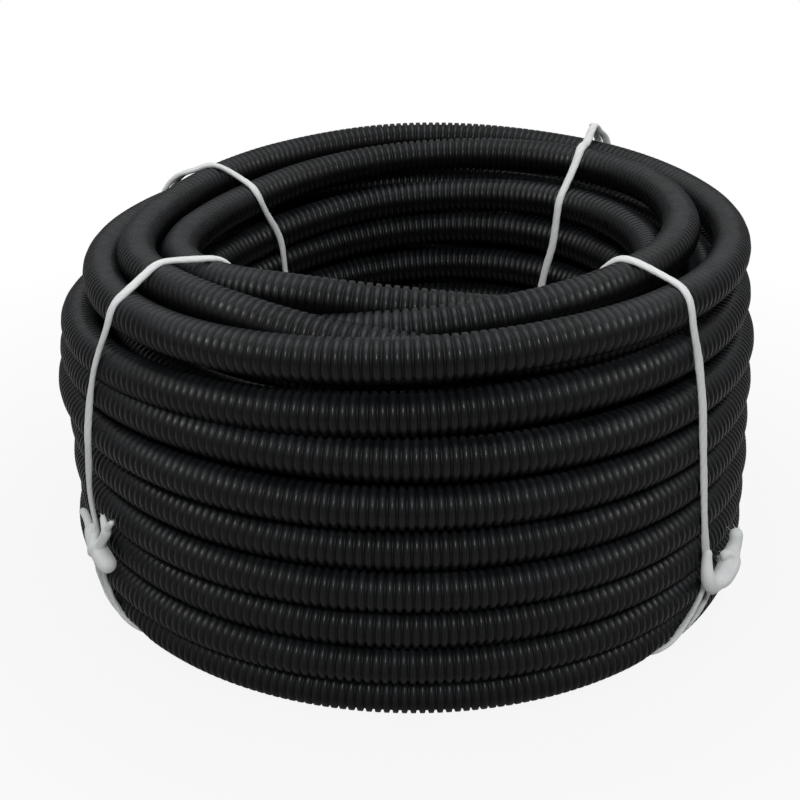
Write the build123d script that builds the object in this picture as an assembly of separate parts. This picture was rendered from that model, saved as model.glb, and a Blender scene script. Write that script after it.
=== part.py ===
from build123d import *
import math
import os

# A coil of black corrugated conduit, standing on its end and held by four ties of soft twine.
# Lengths are in millimetres. The origin is the middle of the flat underside, with +Z up.
# The conduit's ribs are too fine to show here: each turn is drawn over the tops of its ribs.

# Conduit, and the way it is wound
conduit_d = 20.0        # outside diameter over the ribs
coil_inner_d = 244.0    # clear diameter inside the coil
layer_gap = 1.5         # between one layer of turns and the next, outwards
layer_count = 3
land_depth = 0.3        # how far the lowest turns are pressed flat where the coil rests

# The lower rows of turns, from the lowest up: the rise to the next row, and how far the
# outermost turn stands out or in. The last two rises reach the second row and the top row.
row_rise_shares = (1.02, 1.05, 1.06, 1.08, 1.09, 1.15, 1.20, 1.19)
row_bulge_shares = (-0.05, 0.08, 0.06, 0.04, 0.04, 0.06, 0.12)
# The rows of the inner layer lie a little further apart, and end lower
inner_rise_shares = (1.09, 1.13, 1.12, 1.10, 1.20, 1.24)
# Between the layers, the solid stops this far below the top row, and inside the outer turns
core_drop_share = 0.6
core_inset_share = 0.4

# The top wraps: one length of conduit that climbs out of the inner layer at the back left, goes round
# loosely, crosses over itself, and dips under its own end to become the second row from the top.
# Turns made, clockwise from the back; how far out of the inner layer; how far above the top row.
wrap_route_shares = (
    (-0.25, 0.70, -2.10),
    (-0.12, -0.15, -1.80),
    (0.00, -0.08, -1.30),
    (0.12, 0.05, -0.85),
    (0.25, 0.02, -0.75),
    (0.35, -0.12, -0.65),
    (0.43, -0.40, -0.32),
    (0.50, -0.52, 0.07),
    (0.56, -0.48, 0.19),
    (0.63, -0.38, 0.00),
    (0.69, -0.50, -0.23),
    (0.75, -0.70, -0.44),
    (0.81, -0.70, -0.56),
    (0.87, -0.45, -0.54),
    (0.93, 0.02, -0.38),
    (1.00, 0.55, -0.14),
    (1.08, 0.90, 0.08),
    (1.17, 0.90, 0.24),
    (1.25, 0.70, 0.28),
    (1.35, 0.60, 0.27),
    (1.43, 0.60, 0.14),
    (1.50, 0.54, -0.14),
    (1.56, 0.48, -0.48),
    (1.62, 0.44, -0.85),
    (1.70, 0.50, -1.15),
    (1.82, 0.62, -1.28),
    (2.00, 0.90, -1.22),
    (2.20, 1.14, -1.02),
    (2.37, 1.22, -0.86),
    (2.45, 1.25, -0.60),
    (2.52, 1.20, -0.17),
    (2.59, 1.02, 0.15),
    (2.67, 0.69, 0.05),
    (2.75, 0.37, -0.18),
    (2.80, 0.43, -0.26),
    (2.86, 0.82, -0.18),
    (2.92, 1.40, -0.04),
    (3.00, 2.02, 0.10),
    (3.10, 2.21, 0.07),
    (3.20, 2.04, 0.01),
    (3.27, 1.94, 0.02),
    (3.35, 1.96, 0.07),
    (3.43, 2.12, 0.07),
    (3.50, 2.26, -0.04),
    (3.57, 2.20, -0.20),
    (3.65, 1.85, -0.38),
    (3.70, 1.60, -0.50),
    (3.75, 1.48, -0.61),
    (3.80, 1.53, -0.71),
    (3.86, 1.75, -0.84),
    (3.93, 2.02, -1.00),
    (4.00, 2.20, -1.14),
    (4.12, 2.30, -1.19),
    (4.36, 2.30, -1.19),
    (4.50, 2.24, -1.40),
    (4.66, 2.16, -1.79),
    (4.78, 1.85, -2.10),
    (4.90, 1.00, -2.40),
)
corners_per_turn = 20   # the wraps' route is straight runs between corners, each rounded off
corner_bend_share = 0.5
wrap_span_count = 5     # the wraps are made in this many spans that meet end to end

# Ties
twine_d = 4.0
twine_gap = 0.8         # between the twine and the turns, some of which cross under it at a slant
seat_gap = 0.3          # between the twine and its seat in the coil's underside
twine_lift = 0.1        # between the twine and the ground, under the coil
tail_up = 17.0          # cut end that stands up from the knot
tail_side = 20.0        # cut end that runs sideways from the knot
cut_over = 2.0          # how far a cutting shape runs past what it cuts

# Worked out from the sizes above
conduit_r = conduit_d / 2
inner_r = coil_inner_d / 2 + conduit_r
layer_radii = [inner_r + layer * (conduit_d + layer_gap) for layer in range(layer_count)]
row_z = [conduit_r - land_depth]
for rise_share in row_rise_shares:
    row_z.append(row_z[-1] + rise_share * conduit_d)
inner_z = [row_z[0]]
for rise_share in inner_rise_shares:
    inner_z.append(inner_z[-1] + rise_share * conduit_d)
outer_radii = [layer_radii[-1] + share * conduit_d for share in row_bulge_shares]
bottom_radii = layer_radii[:-1] + [outer_radii[0]]
core_top = row_z[-1] - core_drop_share * conduit_d
core_out = layer_radii[-1] - core_inset_share * conduit_d
corner_bend = corner_bend_share * inner_r

twine_r = twine_d / 2
belt_r = conduit_r + twine_gap + twine_r    # twine's middle, from the middle of the turn it goes round
knot_twine_r = 0.85 * twine_r               # the twine is pulled thinner in its knot
knot_ring_r = 0.8 * twine_d                 # middle of each loop of the knot
knot_out = knot_ring_r + knot_twine_r - twine_r - twine_gap / 2
knot_tilt = 25.0                            # degrees that the knot's two loops lean apart

# Name, azimuth in degrees, and the knot's height as a share of the twine's long outer run
ties = (
    ("tie_front_left", -142.0, 0.17),
    ("tie_front_right", -40.0, 0.06),
    ("tie_back_right", 41.0, 0.30),
    ("tie_back_left", 146.0, 0.22),
)


def arc(centre, radius, start, end):
    """Arc about centre from one angle to another, in degrees."""
    points = []
    for angle in (start, (start + end) / 2, end):
        turn = math.radians(angle)
        points.append((centre[0] + radius * math.cos(turn), centre[1] + radius * math.sin(turn)))
    return ThreePointArc(*points)


def coil_outline():
    """Half section of the coil below its top wraps: rows of round turns, and the core between layers."""
    land_angle = math.degrees(math.asin((conduit_r - land_depth) / conduit_r))
    pieces = []
    for radius in bottom_radii:
        pieces.append(arc((radius, row_z[0]), conduit_r, -180, -180 + land_angle))
        pieces.append(arc((radius, row_z[0]), conduit_r, -land_angle, 0))
    pieces.append(arc((outer_radii[0], row_z[0]), conduit_r, 0, 90))
    for radius, height in list(zip(outer_radii, row_z))[1:]:
        pieces.append(arc((radius, height), conduit_r, -90, 90))
    rows_top = pieces[-1] @ 1
    pieces.append(Line((core_out, rows_top.Y), (core_out, core_top)))
    pieces.append(Line((core_out, core_top), (inner_r, core_top)))
    for height in reversed(inner_z[1:]):
        pieces.append(arc((inner_r, height), conduit_r, 90, 270))
    pieces.append(arc((inner_r, row_z[0]), conduit_r, 90, 180))
    edges = []
    for piece, following in zip(pieces, pieces[1:] + pieces[:1]):
        edges.append(piece)
        if (following @ 0 - piece @ 1).length > 0.001 * conduit_d:
            edges.append(Line(piece @ 1, following @ 0))
    return make_face(Curve() + edges)


def wrap_place(turn):
    """Middle of the top wraps' conduit after some turns."""
    for before, after in zip(wrap_route_shares, wrap_route_shares[1:]):
        if turn <= after[0]:
            break
    part = (turn - before[0]) / (after[0] - before[0])
    out_share = before[1] + part * (after[1] - before[1])
    rise_share = before[2] + part * (after[2] - before[2])
    radius = (inner_r + out_share * conduit_d) / math.cos(math.pi / corners_per_turn)
    azimuth = math.pi / 2 - math.tau * turn
    return Vector(radius * math.cos(azimuth), radius * math.sin(azimuth), row_z[-1] + rise_share * conduit_d)


def wrap_paths():
    """Route of the top wraps, in spans that each start and end halfway along a straight run."""
    first, last = wrap_route_shares[0][0], wrap_route_shares[-1][0]
    run_count = round((last - first) * corners_per_turn)
    corners = [wrap_place(first + (last - first) * number / run_count) for number in range(run_count + 1)]
    cuts = [run_count * number // wrap_span_count for number in range(1, wrap_span_count)]
    paths = []
    start, here = corners[0], 0
    for cut in cuts:
        middle = (corners[cut] + corners[cut + 1]) / 2
        paths.append(FilletPolyline(start, *corners[here + 1:cut + 1], middle, radius=corner_bend))
        start, here = middle, cut
    paths.append(FilletPolyline(start, *corners[here + 1:], radius=corner_bend))
    return paths


def turns_left(first, second, third):
    """Whether three points turn anticlockwise."""
    run = (second[0] - first[0], second[1] - first[1])
    rise = (third[0] - first[0], third[1] - first[1])
    return run[0] * rise[1] - run[1] * rise[0] > 0


def wrap_crossings(azimuth):
    """Middles of the top wraps where they cross the plane of a tie."""
    plane = radial_plane(azimuth)
    crossings = []
    for path in wrap_paths():
        count = math.ceil(path.length / twine_d)
        points = [plane.to_local_coords(path @ (number / count)) for number in range(count + 1)]
        for here, there in zip(points, points[1:]):
            if here.X > 0 and here.Z * there.Z <= 0:
                middle = here + (there - here) * (here.Z / (here.Z - there.Z))
                crossings.append((middle.X, middle.Y))
    return crossings


def belt_centres(azimuth):
    """Middles of the turns that a tie bears on, anticlockwise: the corners of the coil's section."""
    floor_z = twine_lift + twine_r + belt_r
    turns = wrap_crossings(azimuth) + [(inner_r, floor_z), (outer_radii[0], floor_z)]
    turns = sorted(turns + list(zip(outer_radii, row_z))[1:])
    corners = []
    for side in (turns, turns[::-1]):
        start = len(corners)
        for turn in side[:-1]:
            while len(corners) > start + 1 and not turns_left(corners[-2], corners[-1], turn):
                corners.pop()
            corners.append(turn)
        while len(corners) > start + 1 and not turns_left(corners[-2], corners[-1], side[-1]):
            corners.pop()
    return corners


def belt_path(azimuth):
    """Route of a tie, pulled tight round the corner turns: one arc for each turn, with runs between."""
    centres = belt_centres(azimuth)
    headings = []
    for here, there in zip(centres, centres[1:] + centres[:1]):
        headings.append(math.degrees(math.atan2(there[1] - here[1], there[0] - here[0])))
    edges = []
    for number, centre in enumerate(centres):
        start, end = headings[number - 1] - 90, headings[number] - 90
        end += 360 * math.ceil((start - end) / 360)
        edges.append(arc(centre, belt_r, start, end))
    runs = [Line(edge @ 1, following @ 0) for edge, following in zip(edges, edges[1:] + edges[:1])]
    outer_runs = [run for run in runs if (run @ 0.5).X > layer_radii[-1]]
    outer_run = max(outer_runs, key=lambda run: run.length)
    route = [piece for pair in zip(edges, runs) for piece in pair]
    return Wire(route), outer_run


def tube(path, radius):
    """Round bar along a path."""
    return sweep(Plane(origin=path @ 0, z_dir=path % 0) * Circle(radius), path=path)


def knot(middle):
    """Two crossed loops of twine, with a cut end that stands up and one that runs sideways."""
    across = middle + Vector(knot_out, 0, 0)
    shape = Pos(across) * Sphere(knot_ring_r)
    for tilt in (-knot_tilt, knot_tilt):
        shape += Pos(across) * Rot(90 + tilt, 0, 0) * Torus(knot_ring_r, knot_twine_r)
    upper = FilletPolyline(
        across,
        across + Vector(twine_d, twine_d, 0),
        across + Vector(twine_d, tail_up, twine_r),
        radius=twine_d,
    )
    side = FilletPolyline(
        across,
        across + Vector(twine_r, -twine_d, -twine_d),
        across + Vector(twine_r, -twine_d, -tail_side),
        radius=twine_d,
    )
    return shape + tube(upper, twine_r) + tube(side, twine_r)


def radial_plane(azimuth):
    """Plane through the coil's axis: its own X runs outwards and its own Y runs up."""
    turn = math.radians(azimuth)
    return Plane(
        origin=(0, 0, 0),
        x_dir=(math.cos(turn), math.sin(turn), 0),
        z_dir=(math.sin(turn), -math.cos(turn), 0),
    )


def tie(azimuth, knot_share):
    """One tie: a taut loop of twine round the coil's section, closed by a knot on the outer side."""
    path, outer_run = belt_path(azimuth)
    loop = tube(path, twine_r) + knot(outer_run @ knot_share)
    return radial_plane(azimuth) * loop


def tie_seat(azimuth):
    """Room for a tie under the coil, where the lowest turns give way round the twine."""
    path, _ = belt_path(azimuth)
    seat_r = twine_r + seat_gap
    slot_in, slot_out = inner_r - conduit_r - cut_over, outer_radii[0] + conduit_r + cut_over
    slot_top = twine_lift + twine_r
    slot = Pos((slot_in + slot_out) / 2, (slot_top - cut_over) / 2, 0) * Box(
        slot_out - slot_in, slot_top + cut_over, 2 * seat_r
    )
    return radial_plane(azimuth) * (tube(path, seat_r) + slot)


def conduit_coil():
    """The coil: turned lower rows with their bore, the wraps laid on top, and seats for the ties."""
    lower_rows = revolve(Plane.XZ * coil_outline(), axis=Axis.Z)
    wraps = [tube(path, conduit_r) for path in wrap_paths()]
    return lower_rows + wraps - [tie_seat(azimuth) for _, azimuth, _ in ties]


def write_node(name, shape):
    """Write one piece to its own file."""
    export_step(shape, os.path.join("parts", name + ".step"))


os.makedirs("parts", exist_ok=True)
write_node("conduit_coil", conduit_coil())
for tie_name, tie_azimuth, knot_share in ties:
    write_node(tie_name, tie(tie_azimuth, knot_share))
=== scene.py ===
import math
import random
from collections import namedtuple

import bpy
import numpy as np
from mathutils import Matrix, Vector


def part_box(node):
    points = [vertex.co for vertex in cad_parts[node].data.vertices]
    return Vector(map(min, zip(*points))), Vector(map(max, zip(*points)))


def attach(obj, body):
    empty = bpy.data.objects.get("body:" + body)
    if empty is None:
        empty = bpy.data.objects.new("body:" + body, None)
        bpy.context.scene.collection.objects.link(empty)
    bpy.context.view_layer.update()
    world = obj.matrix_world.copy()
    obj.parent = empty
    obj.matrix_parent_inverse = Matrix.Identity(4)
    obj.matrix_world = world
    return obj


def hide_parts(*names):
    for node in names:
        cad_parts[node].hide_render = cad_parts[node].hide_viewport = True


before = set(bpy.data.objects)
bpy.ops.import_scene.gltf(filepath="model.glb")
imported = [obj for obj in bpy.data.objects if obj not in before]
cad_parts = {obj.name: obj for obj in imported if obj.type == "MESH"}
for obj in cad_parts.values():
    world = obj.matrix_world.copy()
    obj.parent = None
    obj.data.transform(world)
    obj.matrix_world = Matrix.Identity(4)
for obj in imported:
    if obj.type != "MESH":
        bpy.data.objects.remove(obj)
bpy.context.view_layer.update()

bl_info = {
    "name": "Tied coil of corrugated conduit",
    "version": (1, 0, 0),
    "blender": (4, 5, 0),
    "location": "3D View > Sidebar > Conduit",
    "description": "Winds a free-standing coil of black corrugated conduit and ties it with soft twine",
    "category": "Object",
}

COIL_NODE = "conduit_coil"
COIL_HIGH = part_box("conduit_coil")[1]

# The winding, in conduit diameters. A turn number grows clockwise as seen from above: a whole number
# is at the back, a quarter more is at the right, a half at the front and three quarters at the left.
# The middle layer goes down first, the inner one comes up, and the top wraps lead to the outer one.
ROW_RISES = (1.02, 1.05, 1.06, 1.08, 1.09, 1.15, 1.20, 1.19)
ROW_BULGES = (0.17, 0.28, 0.19, 0.16, 0.13, 0.20, 0.05, -0.05)
# The lower rows have slipped a little: to the photograph's right, and to the back
ROW_SLIPS_RIGHT = (0.20, 0.14, 0.17, 0.15, 0.12, -0.03, 0.08, 0.00, 0.00)
ROW_SLIPS_BACK = (0.33, 0.21, 0.09, 0.00, 0.00, 0.00, 0.00, 0.00, 0.00)
OUTER_RADIUS = 8.75
MIDDLE_RADIUS = 7.68
INNER_RADIUS = 6.6
MIDDLE_RISES = (1.08, 1.17, 1.17, 1.17, 1.12, 1.07)
INNER_RISES = (1.09, 1.13, 1.12, 1.10, 1.20, 1.24)
# The hidden middle turns are this much thicker than the conduit, so that they meet
HIDDEN_SWELL = 1.17
# Slow waves in the radius: how far, how fast with the turn number, and the share of the phase
SWAYS = ((0.022, 0.37 * math.tau, 1.0), (0.0132, 1.31 * math.tau, 0.0))
INNER_SWAY_SHARE = 0.8
# Inner and middle turns are dented inwards once a turn: how far, and where and how wide in parts of a turn
INNER_DENT = 0.5
MIDDLE_DENT = 0.15
DENT_PLACE = -0.2
DENT_WIDTH = 0.15

# Turn numbers: the conduit's ends, where the middle layer gives way to the inner one, where the loose
# wraps start and end, and where a long layer is cut into two pieces
FIRST_TURN = -14.86
INWARD_TURN = -7.9
WRAPS_START = -0.13
WRAPS_END = 4.0
LAST_TURN = 11.87
INNER_CUT = -4.0
OUTER_CUT = 8.0
# In turns: half of a step between middle rows, and how much of their top is ribbed
HALF_STEP = 0.12
RIBBED_TOP = 1.1
# Inner rows climb at the back, from a part of a turn before it to one after it
CLIMB_START, CLIMB_END = -0.24, 0.13
# Where each outer row gives way to the next one down, as the first and last part of the turn
ROW_STEPS = (
    (4.36, 4.96), (5.55, 6.04), (6.72, 7.10), (7.84, 8.12), (8.86, 9.12), (9.87, 10.12), (10.88, 11.12),
)

# The loose wraps on top: turn number, radius, and height over the top row, in conduit diameters
TOP_WRAPS = (
    (-0.50, 6.58, -1.96), (-0.36, 6.30, -1.96), (-0.25, 6.05, -2.00), (-0.13, 6.10, -1.85),
    (0.00, 6.50, -1.30), (0.12, 6.65, -0.85), (0.25, 6.62, -0.75), (0.35, 6.45, -0.65),
    (0.43, 6.25, -0.35), (0.50, 6.15, 0.05), (0.56, 6.20, 0.18), (0.63, 6.25, 0.00),
    (0.69, 6.10, -0.23), (0.75, 5.90, -0.44), (0.81, 5.90, -0.56), (0.87, 6.15, -0.54),
    (0.93, 6.62, -0.38), (1.00, 7.15, -0.14), (1.08, 7.50, 0.08), (1.17, 7.50, 0.24),
    (1.25, 7.30, 0.28), (1.35, 7.14, 0.27), (1.43, 7.12, 0.14), (1.50, 7.08, -0.12),
    (1.56, 7.02, -0.48), (1.62, 7.02, -0.82), (1.70, 7.12, -1.08), (1.82, 7.30, -1.18),
    (2.00, 7.65, -1.10), (2.20, 7.90, -0.98), (2.37, 8.00, -0.86), (2.45, 8.00, -0.60),
    (2.52, 7.90, -0.17), (2.59, 7.66, 0.15), (2.67, 7.29, 0.05), (2.75, 6.97, -0.18),
    (2.80, 7.03, -0.26), (2.86, 7.40, -0.20), (2.92, 7.96, -0.08), (3.00, 8.62, 0.10),
    (3.10, 8.81, 0.07), (3.20, 8.64, 0.01), (3.27, 8.54, 0.02), (3.35, 8.56, 0.07),
    (3.43, 8.70, 0.07), (3.50, 8.82, -0.04), (3.57, 8.76, -0.20), (3.65, 8.32, -0.38),
    (3.70, 8.04, -0.50), (3.75, 7.92, -0.61), (3.80, 7.96, -0.71), (3.86, 8.24, -0.84),
    (3.93, 8.54, -1.00), (4.00, 8.74, -1.14), (4.12, 8.74, -1.19),
)

# Azimuths along each tie while it's still slack, in degrees: from 0 up the outer side, from 1 over the
# top, from 2 down the inner side, and from 3 under the coil. The other shares are of the tie pulled
# tight: from 0 to 1 is the outer side from the bottom up, and from 1 to 2 is the top. A double stretch
# has a second strand beside the first, by some twine widths. A slack stretch stands off the coil, by
# some twine widths about one place. The girth is a share of the twine's own, less where it's pulled hard.
TIES = {
    "tie_front_left": {
        "azimuths": (
            (0.0, -146.6), (0.11, -146.7), (0.23, -146.5), (0.31, -147.4), (0.4, -146.8), (0.51, -145.2),
            (0.6, -144.2), (0.77, -143.6), (0.89, -142.5), (1.0, -141.2), (1.09, -139.6), (1.25, -138.8),
            (1.5, -140.0), (2.0, -134.0), (3.0, -134.0), (3.5, -136.5), (3.72, -139.0), (3.79, -144.0),
            (3.85, -147.0), (4.0, -146.6),
        ),
        "girth": 0.80,
        "knot": (0.24, "forked"),
        "double": ((0.02, 0.23, 1.7),),
        "slack": (),
    },
    "tie_front_right": {
        "azimuths": (
            (0.0, -36.7), (0.12, -37.2), (0.23, -39.0), (0.32, -40.0), (0.49, -41.0), (0.65, -42.0),
            (0.85, -43.0), (1.0, -44.0), (1.1, -45.2), (1.2, -45.6), (1.5, -43.5), (1.8, -45.0),
            (2.0, -55.0), (3.0, -54.0), (3.5, -50.0), (3.7, -47.8), (3.78, -45.3), (3.84, -42.2),
            (3.92, -38.6), (4.0, -36.7),
        ),
        "girth": 0.80,
        "knot": (0.18, "blunt"),
        "double": ((0.0, 0.17, -3.4),),
        "slack": (),
    },
    "tie_back_right": {
        "azimuths": (
            (0.0, 43.0), (0.6, 43.0), (1.0, 45.0), (1.2, 47.3), (1.35, 47.3), (1.47, 45.4), (1.6, 43.0),
            (1.77, 42.0), (1.93, 41.4), (2.11, 41.0), (2.25, 42.8), (2.33, 43.5), (3.0, 45.0), (4.0, 43.0),
        ),
        "girth": 0.98,
        "knot": (0.36, "blunt"),
        "double": ((0.82, 1.12, -1.4),),
        "slack": ((1.12, 0.12, 2.3),),
    },
    "tie_back_left": {
        "azimuths": (
            (0.0, 143.0), (0.6, 146.0), (1.0, 148.0), (1.2, 147.3), (1.35, 144.6), (1.45, 141.8),
            (1.52, 140.2), (1.65, 140.0), (1.85, 140.4), (1.95, 138.0), (2.05, 134.3), (2.12, 132.6),
            (2.3, 131.8), (3.0, 130.0), (3.5, 136.5), (4.0, 143.0),
        ),
        "girth": 0.95,
        "knot": (0.30, "forked"),
        "double": ((0.92, 1.45, 1.3),),
        "slack": ((1.25, 0.15, 0.7),),
    },
}

# The two kinds of knot, as strands of soft twine through a few places: towards the photograph's viewer,
# outwards, up, and the strand's radius, all in twine widths
KNOTS = {
    "forked": (
        ((-0.9, 0.4, 2.3, 0.50), (0.4, 0.7, 1.8, 0.74), (1.8, 0.8, 1.1, 0.90), (3.1, 0.7, 0.4, 0.96),
         (4.4, 0.5, -0.3, 0.88)),
        ((0.5, 0.3, 0.4, 0.45), (1.4, 1.1, 0.5, 0.52), (2.1, 1.4, 1.3, 0.52), (1.7, 1.0, 2.2, 0.50),
         (0.8, 0.4, 2.3, 0.42)),
        ((2.1, 0.8, 1.1, 0.55), (3.0, 0.7, 2.4, 0.48), (3.7, 0.6, 3.3, 0.48), (4.1, 0.5, 4.1, 0.50),
         (3.8, 0.5, 4.7, 0.38), (3.2, 0.4, 5.4, 0.26)),
        ((3.9, 0.5, 4.0, 0.38), (4.7, 0.4, 4.9, 0.34), (5.5, 0.3, 5.7, 0.24)),
        ((1.0, 0.5, 0.9, 0.50), (-0.8, 0.4, 1.4, 0.44), (-2.4, 0.1, 1.9, 0.41), (-3.8, -0.1, 2.0, 0.41),
         (-4.9, -0.3, 1.5, 0.38)),
    ),
    "blunt": (
        ((0.7, 0.2, 3.9, 0.44), (1.1, 0.4, 2.8, 0.52), (1.5, 0.8, 1.5, 0.66), (1.2, 1.0, 0.5, 0.76),
         (0.3, 1.0, -0.2, 0.80), (-0.9, 1.1, -0.1, 0.86), (-1.9, 1.2, 0.6, 0.96), (-2.7, 1.2, 1.4, 0.96),
         (-3.5, 1.1, 2.0, 0.78), (-3.9, 1.1, 2.7, 0.68), (-4.1, 1.0, 3.4, 0.68), (-4.1, 0.9, 4.1, 0.60)),
        ((-0.2, 0.8, -0.6, 0.52), (-0.8, 1.6, -0.2, 0.56), (-1.7, 1.9, 0.6, 0.58), (-2.6, 1.8, 1.5, 0.56),
         (-2.3, 1.2, 2.2, 0.52), (-1.5, 0.7, 1.9, 0.48)),
        ((0.6, 0.5, -0.5, 0.56), (0.0, 0.9, -0.8, 0.60), (-1.0, 1.0, -0.6, 0.56)),
    ),
}
# Which strands of each knot end in loose fibres
FRAYED_STRANDS = {"forked": (1, 2, 3, 4), "blunt": (0, 1)}

# How a tie lies: the room that it takes under the lowest turns and how far their squeeze reaches, in
# twine thicknesses and widths, and how deep it sinks between the ribs, as a share of its thickness
TIE_ROOM = 1.05
UNDER_REACH = 1.2
SQUEEZE_WIDTH = 1.3
SINK_SHARE = 0.12
# A turn whose middle is lower than this share of the conduit's diameter lies on the floor
LOW_TURN_SHARE = 0.75
# A tie's loop: its sides, its points, the rounds that pull it tight and that smooth its azimuths and its
# line, and the part of it, under the coil, where its points start
LOOP_SIDES = 4
LOOP_POINTS = 300
TIGHT_ROUNDS = 2500
AZIMUTH_ROUNDS = 6
LINE_ROUNDS = 8
LOOP_START = 0.88
# Each tie's taut loop, kept once it's worked out for the sizes of the moment
TAUT_TIES = {}

# Twine, as waves along it: how far, radians in a metre, and the share of its own phase
TWINE_LEANS = ((0.22, 61.0, 1.0), (0.10, 173.0, 2.0))
TWINE_SWELLS = ((0.04, 97.0, 1.0), (0.02, 317.0, 3.0))
TWINE_STRANDS = 3
STRAND_RELIEF = 0.018
# Corners round each kind of section
HIDDEN_CORNERS = 8
END_CORNERS = 24
TWINE_CORNERS = 16
KNOT_CORNERS = 14
FIBRE_CORNERS = 5
# A knot's melting: voxels in a twine width, softening rounds, and step along a strand in twine widths
KNOT_VOXELS = 11
KNOT_SOFTENING = 3
KNOT_STEP = 0.16
# Loose fibres at each frayed end, and their thickness in twine widths
FIBRES = 10
FIBRE_THICKNESS = 0.035
FIRST_SEED = 11

# The studio, in metres and watts: each lamp's name, place, size and power, and what they point at
LAMPS = (
    ("lamp_overhead", (0.0, 0.05, 1.35), (1.5, 1.1), 11.5),
    ("lamp_front", (0.03, -1.05, 1.0), (0.28, 0.16), 6.5),
)
LAMP_AIM = (0.0, 0.0, 0.12)
WORLD_LIGHT = 0.35
FLOOR_HALF = 6.0
# How white the camera sees the floor near the coil, and the radii between which it turns all white
NEAR_WHITE = 0.89
WHITENS_FROM, WHITENS_TO = 0.24, 0.55
# The camera: lens and sensor in millimetres, tilt down in degrees, distance in front of the axis and
# height over the top row in conduit diameters, and the picture's offset and width in pixels
LENS = 58.98
SENSOR = 36.0
TILT = 26.64
CAMERA_AWAY = 33.77
CAMERA_UP = 11.09
PICTURE_OFFSET = (-5.0, 19.6)
PICTURE_WIDTH = 800.0

# A swept length: its points, its four-sided faces, and each point's value of one attribute
Part = namedtuple("Part", "points faces values attribute")


class ConduitSizes(bpy.types.PropertyGroup):
    """Sizes of the conduit and the twine, in metres."""

    conduit_d: bpy.props.FloatProperty(
        name="Conduit diameter", description="Outside diameter over the ribs", default=0.020,
        unit="LENGTH", precision=4,
    )
    rib_pitch: bpy.props.FloatProperty(
        name="Rib pitch", description="From one rib to the next along the conduit", default=0.00412,
        unit="LENGTH", precision=5,
    )
    rib_depth: bpy.props.FloatProperty(
        name="Rib depth", description="From a rib's top to the valley beside it", default=0.0014,
        unit="LENGTH", precision=5,
    )
    crest_share: bpy.props.FloatProperty(
        name="Crest share", description="Flat top of a rib, as a share of the pitch", default=0.52,
        subtype="FACTOR",
    )
    flank_share: bpy.props.FloatProperty(
        name="Flank share", description="Slope beside a rib, as a share of the pitch", default=0.12,
        subtype="FACTOR",
    )
    wall: bpy.props.FloatProperty(
        name="Wall", description="Thickness of the plastic", default=0.0006, unit="LENGTH", precision=5
    )
    twine_width: bpy.props.FloatProperty(
        name="Twine width", description="Width of the soft twine, pressed flat where it lies on the coil",
        default=0.0052, unit="LENGTH", precision=4,
    )
    twine_thick: bpy.props.FloatProperty(
        name="Twine thickness", description="Thickness of the twine, out from the coil", default=0.0032,
        unit="LENGTH", precision=4,
    )
    twine_lay: bpy.props.FloatProperty(
        name="Twine lay", description="Length of one twist of the twine's strands", default=0.022,
        unit="LENGTH", precision=4,
    )


class ConduitColours(bpy.types.PropertyGroup):
    """Colours of the plastic, the twine and the floor."""

    plastic: bpy.props.FloatVectorProperty(
        name="Plastic", description="Black plastic of the conduit", subtype="COLOR",
        default=(0.0026, 0.0029, 0.0034),
    )
    # Dust colour on upward faces, which also serves as painted sheen there
    dust_and_sheen: bpy.props.FloatVectorProperty(
        name="Dust", description="Fine dust on upward surfaces", subtype="COLOR",
        default=(0.027, 0.031, 0.036),
    )
    twine: bpy.props.FloatVectorProperty(
        name="Twine", description="Off-white twine", subtype="COLOR", default=(0.67, 0.69, 0.69)
    )
    floor: bpy.props.FloatVectorProperty(
        name="Floor", description="Pale floor", subtype="COLOR", default=(0.42, 0.42, 0.42)
    )


def sizes():
    """The sizes that the sidebar shows."""
    return bpy.context.scene.conduit_sizes


def colours():
    """The colours that the sidebar shows."""
    return bpy.context.scene.conduit_colours


class Sock:
    """A shader socket that can stand in a sum: each operator adds its Math node."""

    def __init__(self, nodes, socket):
        self.nodes = nodes
        self.socket = socket

    def maths(self, operation, first, second):
        return self.nodes.node("ShaderNodeMath", {"operation": operation}, {0: first, 1: second})

    def __add__(self, other):
        return self.maths("ADD", self, other)

    def __radd__(self, other):
        return self.maths("ADD", other, self)

    def __sub__(self, other):
        return self.maths("SUBTRACT", self, other)

    def __rsub__(self, other):
        return self.maths("SUBTRACT", other, self)

    def __mul__(self, other):
        return self.maths("MULTIPLY", self, other)

    def __rmul__(self, other):
        return self.maths("MULTIPLY", other, self)


class Nodes:
    """The nodes of a material or a world."""

    def __init__(self, owner):
        owner.use_nodes = True
        self.tree = owner.node_tree

    def node(self, kind, settings=None, inputs=None, out=0):
        """Adds one node: its settings first, then the values or links of its sockets."""
        made = self.tree.nodes.new(kind)
        for name, value in (settings or {}).items():
            setattr(made, name, value)
        for name, value in (inputs or {}).items():
            self.feed(made.inputs[name], value)
        return Sock(self, made.outputs[out])

    def feed(self, socket, value):
        """Links a socket to another one, or sets its value."""
        if isinstance(value, Sock):
            self.tree.links.new(value.socket, socket)
        else:
            socket.default_value = value

    def remap(self, value, low, high, to_low=0.0, to_high=1.0):
        """Stretches one range of values to another, and stays inside it."""
        return self.node(
            "ShaderNodeMapRange", {"clamp": True},
            {"Value": value, "From Min": low, "From Max": high, "To Min": to_low, "To Max": to_high},
        )

    def camera_ray(self):
        """One in what the camera sees directly, and zero elsewhere."""
        return self.node("ShaderNodeLightPath", out="Is Camera Ray")


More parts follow.
